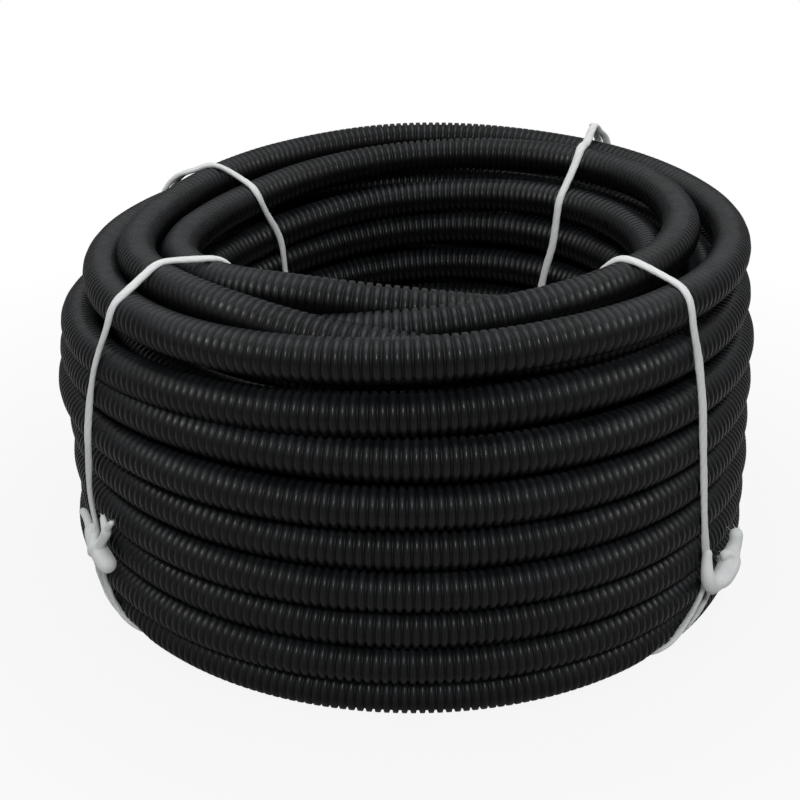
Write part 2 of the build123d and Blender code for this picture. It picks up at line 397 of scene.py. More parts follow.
class Shader(Nodes):
    """A new material and the nodes that make it."""

    def __init__(self, name, **constants):
        self.material = bpy.data.materials.new(name)
        super().__init__(self.material)
        self.surface = self.tree.nodes["Principled BSDF"]
        self.set(**constants)

    def set(self, **links):
        """Feeds the surface's own sockets."""
        for name, value in links.items():
            self.feed(self.surface.inputs[name.replace("_", " ")], value)
        return self.material

    def object_coords(self):
        """The object's own coordinates, in metres."""
        return self.node("ShaderNodeTexCoord", out="Object")

    def noise(self, scale, detail, roughness):
        """Cloudy noise over the object."""
        return self.node(
            "ShaderNodeTexNoise", None,
            {"Vector": self.object_coords(), "Scale": scale, "Detail": detail, "Roughness": roughness},
        )

    def mix(self, share, first, second):
        """A colour between two others."""
        return self.node("ShaderNodeMix", {"data_type": "RGBA"}, {0: share, 6: first, 7: second}, out=2)

    def attribute(self, name):
        """A value that the mesh keeps at its points."""
        return self.node("ShaderNodeAttribute", {"attribute_name": name}, out="Fac")

    def facing_up(self):
        """How far the surface faces upwards, from -1 to 1."""
        normal = self.node("ShaderNodeNewGeometry", out="Normal")
        return self.node("ShaderNodeSeparateXYZ", None, {0: normal}, out="Z")

    def bump(self, height, distance, strength):
        """A normal tilted by fine relief, whose height is in metres."""
        return self.node(
            "ShaderNodeBump", None, {"Height": height, "Distance": distance, "Strength": strength}
        )


def rgba(colour, share=1.0):
    """A share of a colour, with full opacity."""
    return (*(value * share for value in colour), 1.0)


def plastic_material():
    """Satin black plastic: fine moulded grain, dust with painted sheen on upward faces, and painted shade
    darkening the valleys between the ribs.
    """
    shader = Shader("conduit_black_plastic", IOR=1.33)
    crest = shader.attribute("crest")
    dust_patches = shader.remap(shader.noise(scale=38.0, detail=5.0, roughness=0.62), 0.42, 0.68)
    upward = shader.remap(shader.facing_up(), 0.15, 1.0)
    # Partly real dust, partly painted sheen: upward faces and rib tops turn grey, and the valleys are kept
    # dark as painted shade
    dust_and_sheen = upward * (0.35 + 0.65 * dust_patches) * (0.4 + 0.6 * crest)
    # Painted shade: the plastic's colour drops to three tenths of itself in the valleys between the ribs
    valley_shaded = shader.mix(crest, rgba(colours().plastic, 0.3), rgba(colours().plastic))
    base = shader.mix(0.6 * dust_and_sheen, valley_shaded, rgba(colours().dust_and_sheen))
    grain = shader.noise(scale=2600.0, detail=3.0, roughness=0.6)
    scuffs = shader.noise(scale=140.0, detail=4.0, roughness=0.7)
    roughness = 0.24 + 0.16 * shader.remap(scuffs, 0.35, 0.7) + 0.14 * dust_and_sheen + 0.2 * (1.0 - crest)
    normal = shader.bump(grain + 0.6 * scuffs, distance=0.00006, strength=0.5)
    return shader.set(Base_Color=base, Roughness=roughness, Normal=normal)


def twine_material():
    """Soft off-white twine: pale fibres, with painted shade greying it between its strands."""
    shader = Shader("twine_soft_white", Sheen_Weight=0.35, Sheen_Roughness=0.5)
    groove_shade = shader.attribute("groove_shade")
    fibres = shader.noise(scale=900.0, detail=4.0, roughness=0.65)
    soil = shader.remap(shader.noise(scale=60.0, detail=3.0, roughness=0.55), 0.45, 0.75)
    # Painted shade: the twine greys where its strands meet, and with patches of soil
    base = shader.mix(0.2 * groove_shade + 0.18 * soil, rgba(colours().twine), rgba(colours().twine, 0.62))
    roughness = 0.82 + 0.12 * fibres
    normal = shader.bump(fibres, distance=0.0003, strength=0.55)
    return shader.set(Base_Color=base, Roughness=roughness, Normal=normal)


def smooth_step(start, end, turn):
    """Goes smoothly from 0 to 1 between two turn numbers."""
    share = np.clip((turn - start) / (end - start), 0.0, 1.0)
    return share * share * (3.0 - 2.0 * share)


def waves(table, place, phase):
    """A sum of waves: how far, how fast and the share of the phase, at each place along a line."""
    return sum(reach * np.sin(rate * place + share * phase) for reach, rate, share in table)


def smooth_through(table, turn):
    """A smooth curve through rows of (turn number, radius, height)."""
    knots = np.array(table)
    place, values = knots[:, 0], knots[:, 1:]
    slopes = np.gradient(values, place, axis=0)
    index = np.clip(np.searchsorted(place, turn) - 1, 0, len(place) - 2)
    width = (place[index + 1] - place[index])[:, None]
    share = np.clip((turn - place[index])[:, None] / width, 0.0, 1.0)
    low, high = values[index], values[index + 1]
    low_slope, high_slope = slopes[index] * width, slopes[index + 1] * width
    return (
        (2 * share**3 - 3 * share**2 + 1) * low
        + (share**3 - 2 * share**2 + share) * low_slope
        + (3 * share**2 - 2 * share**3) * high
        + (share**3 - share**2) * high_slope
    )


def row_heights():
    """Heights of the rows' middles, from the bottom row up, in metres."""
    heights = [sizes().conduit_d / 2]
    for rise in ROW_RISES:
        heights.append(heights[-1] + rise * sizes().conduit_d)
    return np.array(heights)


def azimuth_of(turn):
    """Azimuth of a turn number, in radians from the right towards the back."""
    return math.pi / 2 - math.tau * turn


def winding(turn):
    """Radius and height of the conduit's middle at each turn number, in metres."""
    d = sizes().conduit_d
    rows = row_heights() / d
    last = len(rows) - 1
    sway = waves(SWAYS, turn, 1.0)
    middle = np.full_like(turn, rows[0] + sum(MIDDLE_RISES))
    for row, rise in enumerate(MIDDLE_RISES, start=1):
        place = INWARD_TURN - row
        middle -= rise * smooth_step(place - HALF_STEP, place + HALF_STEP, turn)
    inner = np.full_like(turn, rows[0])
    for row, rise in enumerate(INNER_RISES):
        place = row - len(INNER_RISES)
        inner += rise * smooth_step(place + CLIMB_START, place + CLIMB_END, turn)
    outer = np.full_like(turn, rows[last - 1])
    bulge = np.full_like(turn, ROW_BULGES[-1])
    for step, (start, end) in enumerate(ROW_STEPS):
        row = last - 2 - step
        move = smooth_step(start, end, turn)
        outer += (rows[row] - rows[row + 1]) * move
        bulge += (ROW_BULGES[row] - ROW_BULGES[row + 1]) * move
    past_dent = turn - DENT_PLACE
    dent = np.exp(-(((past_dent - np.round(past_dent)) / DENT_WIDTH) ** 2))
    inward = smooth_step(INWARD_TURN - HALF_STEP, INWARD_TURN + HALF_STEP, turn)
    middle_radius = MIDDLE_RADIUS - MIDDLE_DENT * dent + sway
    inner_radius = INNER_RADIUS - INNER_DENT * dent + INNER_SWAY_SHARE * sway
    radius = middle_radius + (inner_radius - middle_radius) * inward
    height = middle + (inner - middle) * inward
    top = smooth_through(TOP_WRAPS, turn)
    settle = smooth_step(TOP_WRAPS[0][0], TOP_WRAPS[1][0], turn)
    radius = radius + (top[:, 0] - radius) * settle
    height = height + (rows[last] + top[:, 1] - height) * settle
    outside = smooth_step(TOP_WRAPS[-2][0], TOP_WRAPS[-1][0], turn)
    radius = radius + (OUTER_RADIUS + bulge + sway - radius) * outside
    height = height + (outer - height) * outside
    azimuth = azimuth_of(turn)
    radius += np.interp(height, rows, ROW_SLIPS_RIGHT) * np.cos(azimuth)
    radius += np.interp(height, rows, ROW_SLIPS_BACK) * np.sin(azimuth)
    return radius * d, height * d


def place_at(turn):
    """Points of the conduit's middle at each turn number."""
    radius, height = winding(turn)
    azimuth = azimuth_of(turn)
    return np.stack([radius * np.cos(azimuth), radius * np.sin(azimuth), height], axis=1)


def turns_at(azimuth):
    """Radius and height of every turn where a vertical plane at this azimuth cuts the winding."""
    first = (90.0 - azimuth) / 360.0
    whole = np.arange(math.ceil(FIRST_TURN - first), math.floor(LAST_TURN - first) + 1)
    return winding(whole + first)


def normalised(vectors):
    """Vectors scaled to length one."""
    return vectors / np.linalg.norm(vectors, axis=1)[:, None]


def conduit_rings():
    """Rings along the whole conduit, four for each rib: turn number, radius, and 1 on a rib's top."""
    per_turn = 360
    turn = np.linspace(FIRST_TURN, LAST_TURN, int((LAST_TURN - FIRST_TURN) * per_turn))
    points = place_at(turn)
    steps = np.linalg.norm(np.diff(points, axis=0), axis=1)
    length = np.concatenate([[0.0], np.cumsum(steps)])
    pitch, crest, flank = sizes().rib_pitch, sizes().crest_share, sizes().flank_share
    ribs = np.arange(int(length[-1] / pitch))
    marks = np.array([0.0, crest, crest + flank, 1.0 - flank])
    along = ((ribs[:, None] + marks[None, :]) * pitch).ravel()
    valley = np.tile([0.0, 0.0, 1.0, 1.0], len(ribs))
    radius = sizes().conduit_d / 2 - valley * sizes().rib_depth
    return np.interp(along, length, turn), radius, 1.0 - valley


def ring_frames(turn):
    """Middle, outward direction and upward direction of each ring."""
    nudge = 0.0005
    middle = place_at(turn)
    tangent = normalised(place_at(turn + nudge) - place_at(turn - nudge))
    azimuth = azimuth_of(turn)
    outward = np.stack([np.cos(azimuth), np.sin(azimuth), np.zeros_like(turn)], axis=1)
    outward = normalised(outward - tangent * np.sum(outward * tangent, axis=1)[:, None])
    upward = np.cross(outward, tangent)
    upward *= np.sign(upward[:, 2])[:, None]
    return middle, outward, upward


def section_angles(facing, spread, fine, coarse):
    """Angles round a section, in radians: close together over the spread that shows, in degrees."""
    shown = np.linspace(facing - spread / 2, facing + spread / 2, fine, endpoint=False)
    hidden = np.linspace(facing + spread / 2, facing - spread / 2 + 360, coarse, endpoint=False)
    return np.radians(np.concatenate([shown, hidden]))


def all_round(corners):
    """Angles evenly round a whole section, in radians."""
    return np.linspace(0.0, math.tau, corners, endpoint=False)


def tie_lift(points):
    """How far the lowest turns are squeezed up at each point, where a tie passes under them."""
    squeeze = np.zeros(len(points))
    for name in TIES:
        loop = taut_tie(name)[0]
        under = loop[loop[:, 2] < UNDER_REACH * sizes().twine_thick]
        gaps = np.linalg.norm(points[:, None, :2] - under[None, :, :2], axis=2).min(axis=1)
        squeeze = np.maximum(squeeze, np.exp(-((gaps / (SQUEEZE_WIDTH * sizes().twine_width)) ** 2)))
    return squeeze


def swept(line, outward, upward, radius, angles, values, attribute, closed=False):
    """Sweeps rings along a line, with a value for each ring or point kept as an attribute."""
    ring_count, corner_count = len(line), len(angles)
    across, along = np.cos(angles)[None, :, None], np.sin(angles)[None, :, None]
    around = outward[:, None, :] * across + upward[:, None, :] * along
    if np.ndim(radius) == 1:
        radius = radius[:, None]
    points = (line[:, None, :] + around * radius[:, :, None]).reshape(-1, 3)
    here = np.arange(ring_count * corner_count).reshape(ring_count, corner_count)
    after = np.roll(here, -1, axis=0)
    if not closed:
        here, after = here[:-1], after[:-1]
    corners = [here, np.roll(here, -1, axis=1), np.roll(after, -1, axis=1), after]
    if np.ndim(values) == 1:
        values = np.repeat(values, corner_count)
    return Part(points, np.stack(corners, axis=2).reshape(-1, 4), np.ravel(values), attribute)


def mesh_from(name, parts):
    """Joins swept parts into one mesh, and keeps their values as an attribute of its points."""
    starts = np.cumsum([0] + [len(part.points) for part in parts])
    points = np.concatenate([part.points for part in parts])
    faces = np.concatenate([part.faces + start for part, start in zip(parts, starts)])
    values = np.concatenate([part.values for part in parts])
    mesh = bpy.data.meshes.new(name)
    mesh.vertices.add(len(points))
    mesh.vertices.foreach_set("co", points.astype(np.float32).ravel())
    mesh.loops.add(faces.size)
    mesh.loops.foreach_set("vertex_index", faces.astype(np.int32).ravel())
    mesh.polygons.add(len(faces))
    mesh.polygons.foreach_set("loop_start", np.arange(0, faces.size, 4, dtype=np.int32))
    mesh.polygons.foreach_set("use_smooth", np.ones(len(faces), dtype=bool))
    mesh.update(calc_edges=True)
    kept = mesh.attributes.new(parts[0].attribute, "FLOAT", "POINT")
    kept.data.foreach_set("value", values.astype(np.float32))
    return mesh


def piece_from(name, parts, material, node):
    """Joins swept parts into one object that rides on the coil and stands for a CAD node."""
    mesh = mesh_from(name, parts)
    mesh.materials.append(material)
    mesh.validate()
    piece = bpy.data.objects.new(name, mesh)
    bpy.context.scene.collection.objects.link(piece)
    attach(piece, "root")
    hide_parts(node)


def material_named(name, make):
    """The material of that name, made once."""
    return bpy.data.materials.get(name) or make()


def conduit_span(first, last, angles, swell=None):
    """The conduit between two turn numbers: ribbed, or smooth and swollen where it's hidden."""
    ring_turn, radius, crest = conduit_rings()
    chosen = np.flatnonzero((ring_turn >= first) & (ring_turn < last))
    if chosen[-1] + 1 < len(ring_turn):
        chosen = np.append(chosen, chosen[-1] + 1)
    middle, outward, upward = ring_frames(ring_turn[chosen])
    reach = radius[chosen] if swell is None else np.full(len(chosen), sizes().conduit_d / 2 * swell)
    part = swept(middle, outward, upward, reach, angles, crest[chosen], "crest")
    rest_on_floor(part.points, np.repeat(middle[:, 2], len(angles)))
    return part


def rest_on_floor(points, middles):
    """Presses the lowest turns flat on the floor, and squeezes them up over the ties."""
    low = middles < sizes().conduit_d * LOW_TURN_SHARE
    top = middles + sizes().conduit_d / 2
    squeeze = tie_lift(points[low]) * (sizes().twine_thick * TIE_ROOM) / sizes().conduit_d
    squeezed = top[low] - (top[low] - points[low, 2]) * (1.0 - squeeze)
    points[low, 2] = np.maximum(squeezed, 0.0)


def conduit_piece(name, parts):
    """A piece of the conduit, made of one or more swept parts."""
    plastic = material_named("conduit_black_plastic", plastic_material)
    piece_from(name, parts, plastic, COIL_NODE)


def facing_out():
    """Corners of a turn that shows its outer side."""
    return section_angles(facing=0, spread=224, fine=14, coarse=4)


def facing_in():
    """Corners of a turn that shows its side towards the bore."""
    return section_angles(facing=180, spread=224, fine=14, coarse=4)


def facing_up():
    """Corners of a turn that shows its top and its sides."""
    return section_angles(facing=90, spread=264, fine=17, coarse=3)


def facing_down():
    """Corners of a turn that shows its underside."""
    return section_angles(facing=-90, spread=180, fine=12, coarse=3)


class CONDUIT_OT_outer_rows(bpy.types.Operator):
    """Winds the outer rows of the coil, from the second one down to the floor"""

    bl_idname = "conduit.outer_rows"
    bl_label = "Outer rows"

    def execute(self, context):
        conduit_piece("conduit_outer_upper", [conduit_span(WRAPS_END, OUTER_CUT, facing_out())])
        conduit_piece("conduit_outer_lower", [conduit_span(OUTER_CUT, LAST_TURN, facing_out())])
        return {"FINISHED"}


class CONDUIT_OT_top_wraps(bpy.types.Operator):
    """Winds the loose wraps on top, which cross from the inner layer to the outer one"""

    bl_idname = "conduit.top_wraps"
    bl_label = "Top wraps"

    def execute(self, context):
        conduit_piece("conduit_top_wraps", [conduit_span(WRAPS_START, WRAPS_END, facing_up())])
        return {"FINISHED"}


class CONDUIT_OT_inner_rows(bpy.types.Operator):
    """Winds the rows of the inner layer, which line the bore"""

    bl_idname = "conduit.inner_rows"
    bl_label = "Inner rows"

    def execute(self, context):
        conduit_piece("conduit_inner_lower", [conduit_span(INWARD_TURN - HALF_STEP, INNER_CUT, facing_in())])
        conduit_piece("conduit_inner_upper", [conduit_span(INNER_CUT, WRAPS_START, facing_in())])
        return {"FINISHED"}


class CONDUIT_OT_middle_rows(bpy.types.Operator):
    """Winds the hidden middle layer, whose top and bottom turns show between their neighbours"""

    bl_idname = "conduit.middle_rows"
    bl_label = "Middle rows"

    def execute(self, context):
        hidden_from = FIRST_TURN + RIBBED_TOP
        inward = INWARD_TURN - HALF_STEP
        parts = [
            conduit_span(FIRST_TURN, hidden_from, facing_up()),
            conduit_span(hidden_from, inward - 1, all_round(HIDDEN_CORNERS), HIDDEN_SWELL),
            conduit_span(inward - 1, inward, facing_down()),
        ]
        conduit_piece("conduit_middle", parts)
        return {"FINISHED"}


def cut_end(end, inside):
    """One end of the conduit: the wall's edge, then the ribbed inside, closed far in."""
    ring_turn, radius, crest = conduit_rings()
    ring_count, pinhole = 40, 0.0002
    rings = end + inside * np.arange(ring_count)
    lip = np.concatenate([[end], rings])
    reach = np.concatenate([[radius[end]], radius[rings] - sizes().wall])
    reach[-1] = pinhole
    angles = all_round(END_CORNERS)
    middle, outward, upward = ring_frames(ring_turn[lip])
    part = swept(middle, outward, upward, reach, angles, crest[lip], "crest")
    rest_on_floor(part.points, np.repeat(middle[:, 2], len(angles)))
    return part if inside < 0 else part._replace(faces=part.faces[:, ::-1])


class CONDUIT_OT_cut_ends(bpy.types.Operator):
    """Opens the conduit's two square-cut ends, with the wall and the ribbed inside"""

    bl_idname = "conduit.cut_ends"
    bl_label = "Cut ends"

    def execute(self, context):
        last_ring = len(conduit_rings()[0]) - 1
        conduit_piece("conduit_cut_ends", [cut_end(last_ring, -1), cut_end(0, 1)])
        return {"FINISHED"}


def obstacles(azimuth, thick):
    """Circles that a tie goes round at one azimuth: middles and reach, with the lowest turns squeezed."""
    half = sizes().conduit_d / 2
    flat = half - TIE_ROOM * thick / 2
    middles, reaches = [], []
    for radius, height in zip(*turns_at(azimuth)):
        if height < LOW_TURN_SHARE * sizes().conduit_d:
            for side in (-1, 1):
                middles.append((radius + side * (half - flat), TIE_ROOM * thick + flat))
                reaches.append(flat + thick / 2)
        else:
            middles.append((radius, height))
            reaches.append(half + thick / 2 - SINK_SHARE * thick)
    return np.array(middles), np.array(reaches)


def smoothed(ring, rounds):
    """Evens out the values or points round a closed loop."""
    for _ in range(rounds):
        ring = (np.roll(ring, 1, axis=0) + 2 * ring + np.roll(ring, -1, axis=0)) / 4
    return ring


def slack_loop(tie, thick):
    """A loose loop round the coil's section, as radius and height, and each point's azimuth in degrees."""
    into_bore = 1.6
    outer, inner = COIL_HIGH.x + thick, (INNER_RADIUS - into_bore) * sizes().conduit_d
    top = COIL_HIGH.z + thick
    corners = np.array([(outer, 0.0), (outer, top), (inner, top), (inner, 0.0), (outer, 0.0)])
    share = np.arange(LOOP_POINTS) / LOOP_POINTS * LOOP_SIDES
    loop = np.stack([np.interp(share, range(LOOP_SIDES + 1), corners[:, axis]) for axis in (0, 1)], axis=1)
    return loop, smoothed(np.interp(share, *np.array(tie["azimuths"]).T), AZIMUTH_ROUNDS)


def pulled_tight(loop, azimuths, thick):
    """Shortens a loop until it lies on the turns that it crosses."""
    found = [obstacles(azimuth, thick) for azimuth in azimuths]
    most = max(len(reach) for _, reach in found)
    far_away, nothing = 10.0, 1e-6
    middles = np.full((len(loop), most, 2), far_away)
    reaches = np.full((len(loop), most), nothing)
    for number, (middle, reach) in enumerate(found):
        middles[number, : len(reach)] = middle
        reaches[number, : len(reach)] = reach
    over_floor = 0.0001
    each = np.arange(len(loop))
    for _ in range(TIGHT_ROUNDS):
        loop = (np.roll(loop, 1, axis=0) + np.roll(loop, -1, axis=0)) / 2
        away = loop[:, None, :] - middles
        gap = np.linalg.norm(away, axis=2)
        short = np.maximum(reaches - gap, 0.0)
        worst = np.argmax(short, axis=1)
        loop = loop + away[each, worst] / gap[each, worst][:, None] * short[each, worst][:, None]
        loop[:, 1] = np.maximum(loop[:, 1], thick / 2 + over_floor)
    return loop


def taut_loop(tie):
    """A loop of twine tight round the coil's section, at the azimuths asked for, and each point's share."""
    thick = sizes().twine_thick * tie["girth"]
    loop, azimuths = slack_loop(tie, thick)
    loop = pulled_tight(loop, azimuths, thick)
    shares = shares_along(loop)
    away = normalised(loop - np.array([MIDDLE_RADIUS * sizes().conduit_d, COIL_HIGH.z / 2]))
    for middle, width, lift in tie["slack"]:
        slack = lift * sizes().twine_width * np.exp(-(((shares - middle) / width) ** 2))
        loop = loop + away * slack[:, None]
    turn = np.radians(azimuths)
    twine = np.stack([loop[:, 0] * np.cos(turn), loop[:, 0] * np.sin(turn), loop[:, 1]], axis=1)
    start = int(LOOP_START * LOOP_POINTS)
    shares = np.roll(shares, -start)
    first_half = shares[: LOOP_POINTS // 2]
    first_half -= LOOP_SIDES * (first_half > LOOP_SIDES - 1)
    return np.roll(smoothed(twine, LINE_ROUNDS), -start, axis=0), shares


def taut_tie(name):
    """The taut loop of one tie and its shares, worked out once for each set of sizes."""
    key = (name, sizes().conduit_d, sizes().twine_thick, sizes().twine_width)
    if key not in TAUT_TIES:
        TAUT_TIES[key] = taut_loop(TIES[name])
    return TAUT_TIES[key]


def shares_along(loop):
    """Where each point of a tie lies on its four sides, from 0 to 4, by its radius and height."""
    d = sizes().conduit_d
    inner, outer, high = INNER_RADIUS * d, OUTER_RADIUS * d, COIL_HIGH.z
    edge, top_depth, low_depth = 0.4 * d, 2.2 * d, 0.5 * d
    across = np.clip((loop[:, 0] - inner) / (outer - inner), 0.0, 1.0)
    up = np.clip(loop[:, 1] / high, 0.0, 1.0)
    within = (loop[:, 0] <= outer + edge) & (loop[:, 0] >= inner - edge)
    share = np.where(loop[:, 0] > (inner + outer) / 2, up, 3.0 - up)
    share = np.where((loop[:, 1] > high - top_depth) & within, 2.0 - across, share)
    return np.where((loop[:, 1] < low_depth) & within, 3.0 + across, share)


def resample(points, step, closed=False):
    """Points at an even step along a line, and how far along it they lie."""
    line = np.concatenate([points, points[:1]]) if closed else points
    length = np.concatenate([[0.0], np.cumsum(np.linalg.norm(np.diff(line, axis=0), axis=1))])
    fewest = 4
    count = max(fewest, int(round(length[-1] / step)))
    marks = np.linspace(0, length[-1], count, endpoint=not closed)
    return np.stack([np.interp(marks, length, values) for values in line.T], axis=1), marks


def curve_through(points):
    """A smooth line through a few given places."""
    per_run = 8
    ghost = np.concatenate([[2 * points[0] - points[1]], points, [2 * points[-1] - points[-2]]])
    share = np.linspace(0, 1, per_run, endpoint=False)[:, None]
    line = []
    for a, b, c, d in zip(ghost, ghost[1:], ghost[2:], ghost[3:]):
        line.append(
            b + 0.5 * share * (c - a + share * (2 * a - 5 * b + 4 * c - d + share * (3 * (b - c) + d - a)))
        )
    return np.concatenate(line + [points[-1:]])


def line_frames(points, outside, closed=False):
    """Directions across a line: one away from the point given, and one square to it."""
    if closed:
        tangent = normalised(np.roll(points, -1, axis=0) - np.roll(points, 1, axis=0))
    else:
        tangent = normalised(np.gradient(points, axis=0))
    across = points - outside
    across = across - tangent * np.sum(across * tangent, axis=1)[:, None]
    across = normalised(across)
    return across, np.cross(tangent, across)


def twine_part(points, outside, girth, closed=False, phase=0.0):
    """A length of soft twine, pressed flat against the coil and laid with a slight twist."""
    step_share, thinnest = 0.3, 0.001
    line, marks = resample(points, sizes().twine_thick * step_share, closed)
    across, beside = line_frames(line, np.array(outside), closed)
    angles = all_round(TWINE_CORNERS)
    lay = sizes().twine_lay
    if closed:
        total = marks[-1] + marks[1]
        lay = total / round(total / lay)
    strands = np.cos(TWINE_STRANDS * (angles[None, :] - math.tau * marks[:, None] / lay) + phase)
    lean = angles[None, :] - waves(TWINE_LEANS, marks, phase)[:, None]
    half_thick, half_width = girth * sizes().twine_thick / 2, girth * sizes().twine_width / 2
    radius = 1.0 / np.sqrt((np.cos(lean) / half_thick) ** 2 + (np.sin(lean) / half_width) ** 2)
    swell = 1.0 + waves(TWINE_SWELLS, marks, phase)
    radius = radius * swell[:, None] * (1.0 + STRAND_RELIEF * strands)
    if not closed:
        ends = np.minimum(marks, marks[-1] - marks) / (2 * half_thick)
        radius = radius * np.sqrt(np.clip(ends, thinnest, 1.0))[:, None]
    # Each point keeps its painted shade, highest between the strands
    return swept(line, across, beside, radius, angles, 0.5 - 0.5 * strands, "groove_shade", closed)


def soft_strand(places, place, axes):
    """One thick strand of a knot, rounded at both ends."""
    # The knot's strands carry an even painted shade
    thinnest, groove_shade = 0.0004, 0.3
    frame_aside = np.array([0.031, -0.047, 0.053])
    table, marks = resample(curve_through(np.array(places)), KNOT_STEP)
    line = place + (table[:, :3] @ axes) * sizes().twine_width
    ends = np.minimum(marks, marks[-1] - marks) / table[:, 3]
    round_off = np.sqrt(np.clip(1.0 - (1.0 - np.clip(ends, 0.0, 1.0)) ** 2, thinnest, 1.0))
    across, beside = line_frames(line, line.mean(axis=0) + frame_aside)
    reach = table[:, 3] * round_off * sizes().twine_width
    return swept(line, across, beside, reach, all_round(KNOT_CORNERS), np.full(len(line), groove_shade), "groove_shade")


def fused(parts):
    """Melts overlapping strands into one soft lump, with creases left where they cross."""
    groove_shade = 0.25
    rough = mesh_from("rough_knot", parts)
    holder = bpy.data.objects.new("rough_knot", rough)
    bpy.context.scene.collection.objects.link(holder)
    melt = holder.modifiers.new("melt", "REMESH")
    melt.mode = "VOXEL"
    melt.voxel_size = sizes().twine_width / KNOT_VOXELS
    soften = holder.modifiers.new("soften", "SMOOTH")
    soften.iterations = KNOT_SOFTENING
    soft = bpy.data.meshes.new_from_object(holder.evaluated_get(bpy.context.evaluated_depsgraph_get()))
    bpy.data.objects.remove(holder)
    points = np.zeros(len(soft.vertices) * 3)
    soft.vertices.foreach_get("co", points)
    corners = np.zeros(len(soft.loops), dtype=np.int32)
    soft.loops.foreach_get("vertex_index", corners)
    if len(corners) != 4 * len(soft.polygons):
        raise RuntimeError("The melted knot has faces that aren't four-sided")
    bpy.data.meshes.remove(soft)
    bpy.data.meshes.remove(rough)
    points = points.reshape(-1, 3)
    return Part(points, corners.reshape(-1, 4), np.full(len(points), groove_shade), "groove_shade")


def any_way(chance):
    """A random vector, up to one along each axis."""
    return Vector((chance.uniform(-1, 1), chance.uniform(-1, 1), chance.uniform(-1, 1)))


def fibre(start, way, length, radius, chance):
    """One loose fibre of a frayed end: a tapered tube with a random curl."""
    steps, curl, taper, groove_shade = 5, 0.35, 0.3, 0.25
    frame_aside = np.array([0.013, -0.021, 0.017])
    bend = any_way(chance)
    shares = np.linspace(0.0, 1.0, steps)
    line = np.array([start + way * length * share + bend * length * curl * share**2 for share in shares])
    across, beside = line_frames(line, line.mean(axis=0) + frame_aside)
    reach = radius * np.linspace(1.0, taper, steps)
    return swept(line, across, beside, reach, all_round(FIBRE_CORNERS), np.full(steps, groove_shade), "groove_shade")


def knot_parts(kind, place, outward, chance):
    """The knot on the outer side, with its cut and frayed ends."""
    width = sizes().twine_width
    upward = np.array([0.0, 0.0, 1.0])
    viewer_side = np.cross(upward, outward)
    viewer_side = viewer_side * (-1.0 if viewer_side[1] > 0 else 1.0)
    axes = np.stack([viewer_side, outward, upward])
    parts = [fused([soft_strand(places, place, axes) for places in KNOTS[kind]])]
    inset, fanning = 0.6, 0.45
    for number in FRAYED_STRANDS[kind]:
        before, tip = np.array(KNOTS[kind][number][-2:])
        way = Vector((tip[:3] - before[:3]) @ axes).normalized()
        end, girth = Vector(place + (tip[:3] @ axes) * width), width * tip[3]
        for _ in range(FIBRES):
            spread = any_way(chance)
            start = end + spread * girth * inset - way * girth * inset
            length = girth * chance.uniform(0.6, 1.2)
            fanned = (way + fanning * spread).normalized()
            parts.append(fibre(start, fanned, length, width * FIBRE_THICKNESS, chance))
    return parts


def second_strand(loop, shares, double, beside):
    """The line of a strand beside the loop, between two shares of it."""
    first, last, shift = double
    fullness = 0.7
    half = shares[: len(loop) // 2]
    low, high = (int(np.argmin(np.abs(half - share))) for share in (first, last))
    aside = shift * sizes().twine_width * np.sin(np.linspace(0.0, math.pi, high - low + 1)) ** fullness
    return loop[low : high + 1] + aside[:, None] * beside


def tie_piece(name, tie, seed):
    """One tie: the taut loop, its doubled stretches, its knot and its frayed ends."""
    loop, shares = taut_tie(name)
    knot_share, kind = tie["knot"]
    place = loop[int(np.argmin(np.abs(shares - knot_share)))]
    outward = np.array([place[0], place[1], 0.0]) / math.hypot(place[0], place[1])
    centre = outward * MIDDLE_RADIUS * sizes().conduit_d + np.array([0.0, 0.0, COIL_HIGH.z / 2])
    parts = [twine_part(loop, centre, tie["girth"], closed=True, phase=seed)]
    beside = np.cross(outward, [0.0, 0.0, 1.0])
    for double in tie["double"]:
        strand = second_strand(loop, shares, double, beside)
        parts.append(twine_part(strand, centre, tie["girth"], phase=seed + 1))
    parts += knot_parts(kind, place, outward, random.Random(seed))
    for part in parts:
        part.points[:, 2] = np.maximum(part.points[:, 2], 0.0)
    twine = material_named("twine_soft_white", twine_material)
    piece_from(name + "_twine", parts, twine, name)


class CONDUIT_OT_ties(bpy.types.Operator):
    """Ties the coil with four loops of soft twine, each with its knot and frayed ends"""

    bl_idname = "conduit.ties"
    bl_label = "Ties"

    def execute(self, context):
        for seed, (name, tie) in enumerate(TIES.items(), start=FIRST_SEED):
            tie_piece(name, tie, seed)
        return {"FINISHED"}


def floor_material():
    """Plain pale floor: white to the eye like the backdrop, but for the soft shadow round the coil."""
    shader = Shader("floor_pale", Roughness=0.9, Specular_IOR_Level=0.0)
    shader.set(Base_Color=rgba(colours().floor))
    white = shader.node("ShaderNodeEmission", None, {"Color": (1.0, 1.0, 1.0, 1.0), "Strength": 1.0})
    place = shader.object_coords()
    away = shader.node("ShaderNodeVectorMath", {"operation": "LENGTH"}, {0: place}, out="Value")
    share = shader.camera_ray() * shader.remap(away, WHITENS_FROM, WHITENS_TO, NEAR_WHITE, 1.0)
    lit = Sock(shader, shader.surface.outputs[0])
    mixed = shader.node("ShaderNodeMixShader", None, {0: share, 1: lit, 2: white})
    shader.feed(shader.tree.nodes["Material Output"].inputs["Surface"], mixed)
    return shader.material


def area_lamp(name, place, size, watts):
    """A soft lamp that points at the coil."""
    lamp = bpy.data.lights.new(name, "AREA")
    lamp.shape = "RECTANGLE"
    lamp.size, lamp.size_y = size
    lamp.energy = watts
    holder = bpy.data.objects.new(name, lamp)
    holder.location = place
    holder.rotation_mode = "QUATERNION"
    holder.rotation_quaternion = (Vector(LAMP_AIM) - Vector(place)).to_track_quat("-Z", "Y")
    bpy.context.scene.collection.objects.link(holder)


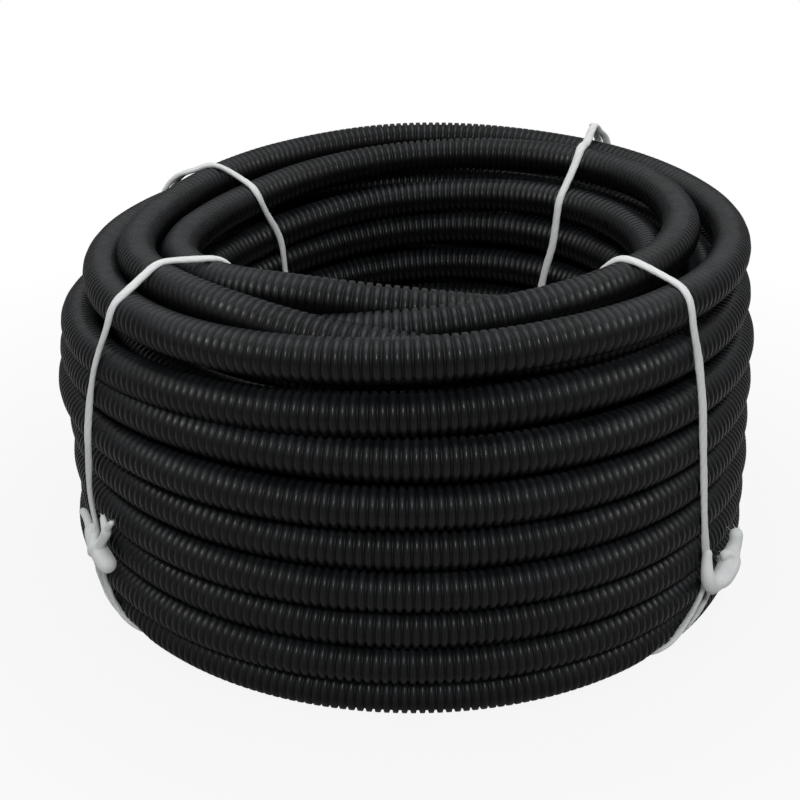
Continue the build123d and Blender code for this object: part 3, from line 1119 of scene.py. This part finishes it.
def studio_world():
    """An even pale studio: white to the camera, and softer as a light."""
    world = bpy.data.worlds.new("studio")
    nodes = Nodes(world)
    background = nodes.tree.nodes["Background"]
    nodes.feed(background.inputs["Color"], (1.0, 1.0, 1.0, 1.0))
    nodes.feed(background.inputs["Strength"], nodes.remap(nodes.camera_ray(), 0.0, 1.0, WORLD_LIGHT, 1.0))
    bpy.context.scene.world = world


def photo_camera():
    """The camera at the photograph's height, distance and tilt."""
    d = sizes().conduit_d
    camera = bpy.data.objects.new("camera", bpy.data.cameras.new("camera"))
    camera.data.lens = LENS
    camera.data.sensor_width = SENSOR
    camera.data.shift_x, camera.data.shift_y = (offset / PICTURE_WIDTH for offset in PICTURE_OFFSET)
    camera.location = (0.0, -CAMERA_AWAY * d, row_heights()[-1] + CAMERA_UP * d)
    camera.rotation_euler = (math.radians(90.0 - TILT), 0.0, 0.0)
    bpy.context.scene.collection.objects.link(camera)
    bpy.context.scene.camera = camera


class CONDUIT_OT_stage(bpy.types.Operator):
    """Sets the pale floor, the soft lamps, the world and the camera"""

    bl_idname = "conduit.stage"
    bl_label = "Stage"

    def execute(self, context):
        half = FLOOR_HALF
        corners = [(-half, -half, 0), (half, -half, 0), (half, half, 0), (-half, half, 0)]
        mesh = bpy.data.meshes.new("floor")
        mesh.from_pydata(corners, [], [(0, 1, 2, 3)])
        mesh.materials.append(floor_material())
        floor = bpy.data.objects.new("floor", mesh)
        bpy.context.scene.collection.objects.link(floor)
        for name, place, size, watts in LAMPS:
            area_lamp(name, place, size, watts)
        studio_world()
        photo_camera()
        bpy.context.scene.view_settings.view_transform = "Standard"
        return {"FINISHED"}


class CONDUIT_PT_panel(bpy.types.Panel):
    """Lists the steps that build the coil, and its sizes and colours"""

    bl_label = "Conduit coil"
    bl_idname = "CONDUIT_PT_panel"
    bl_space_type = "VIEW_3D"
    bl_region_type = "UI"
    bl_category = "Conduit"

    def draw(self, context):
        for group in (context.scene.conduit_sizes, context.scene.conduit_colours):
            for name in group.__annotations__:
                self.layout.prop(group, name)
        for step in STEPS:
            self.layout.operator(step.bl_idname)


STEPS = (
    CONDUIT_OT_stage,
    CONDUIT_OT_outer_rows,
    CONDUIT_OT_top_wraps,
    CONDUIT_OT_inner_rows,
    CONDUIT_OT_middle_rows,
    CONDUIT_OT_cut_ends,
    CONDUIT_OT_ties,
)
CLASSES = (ConduitSizes, ConduitColours, *STEPS, CONDUIT_PT_panel)


def register():
    """Adds the classes, and the sizes and colours that a user can change."""
    for each in CLASSES:
        bpy.utils.register_class(each)
    bpy.types.Scene.conduit_sizes = bpy.props.PointerProperty(type=ConduitSizes)
    bpy.types.Scene.conduit_colours = bpy.props.PointerProperty(type=ConduitColours)


def unregister():
    """Takes away what register added."""
    del bpy.types.Scene.conduit_colours
    del bpy.types.Scene.conduit_sizes
    for each in reversed(CLASSES):
        bpy.utils.unregister_class(each)


def main():
    """Builds the coil step by step."""
    register()
    for step in STEPS:
        group, name = step.bl_idname.split(".")
        getattr(getattr(bpy.ops, group), name)()


if __name__ == "__main__":
    main()
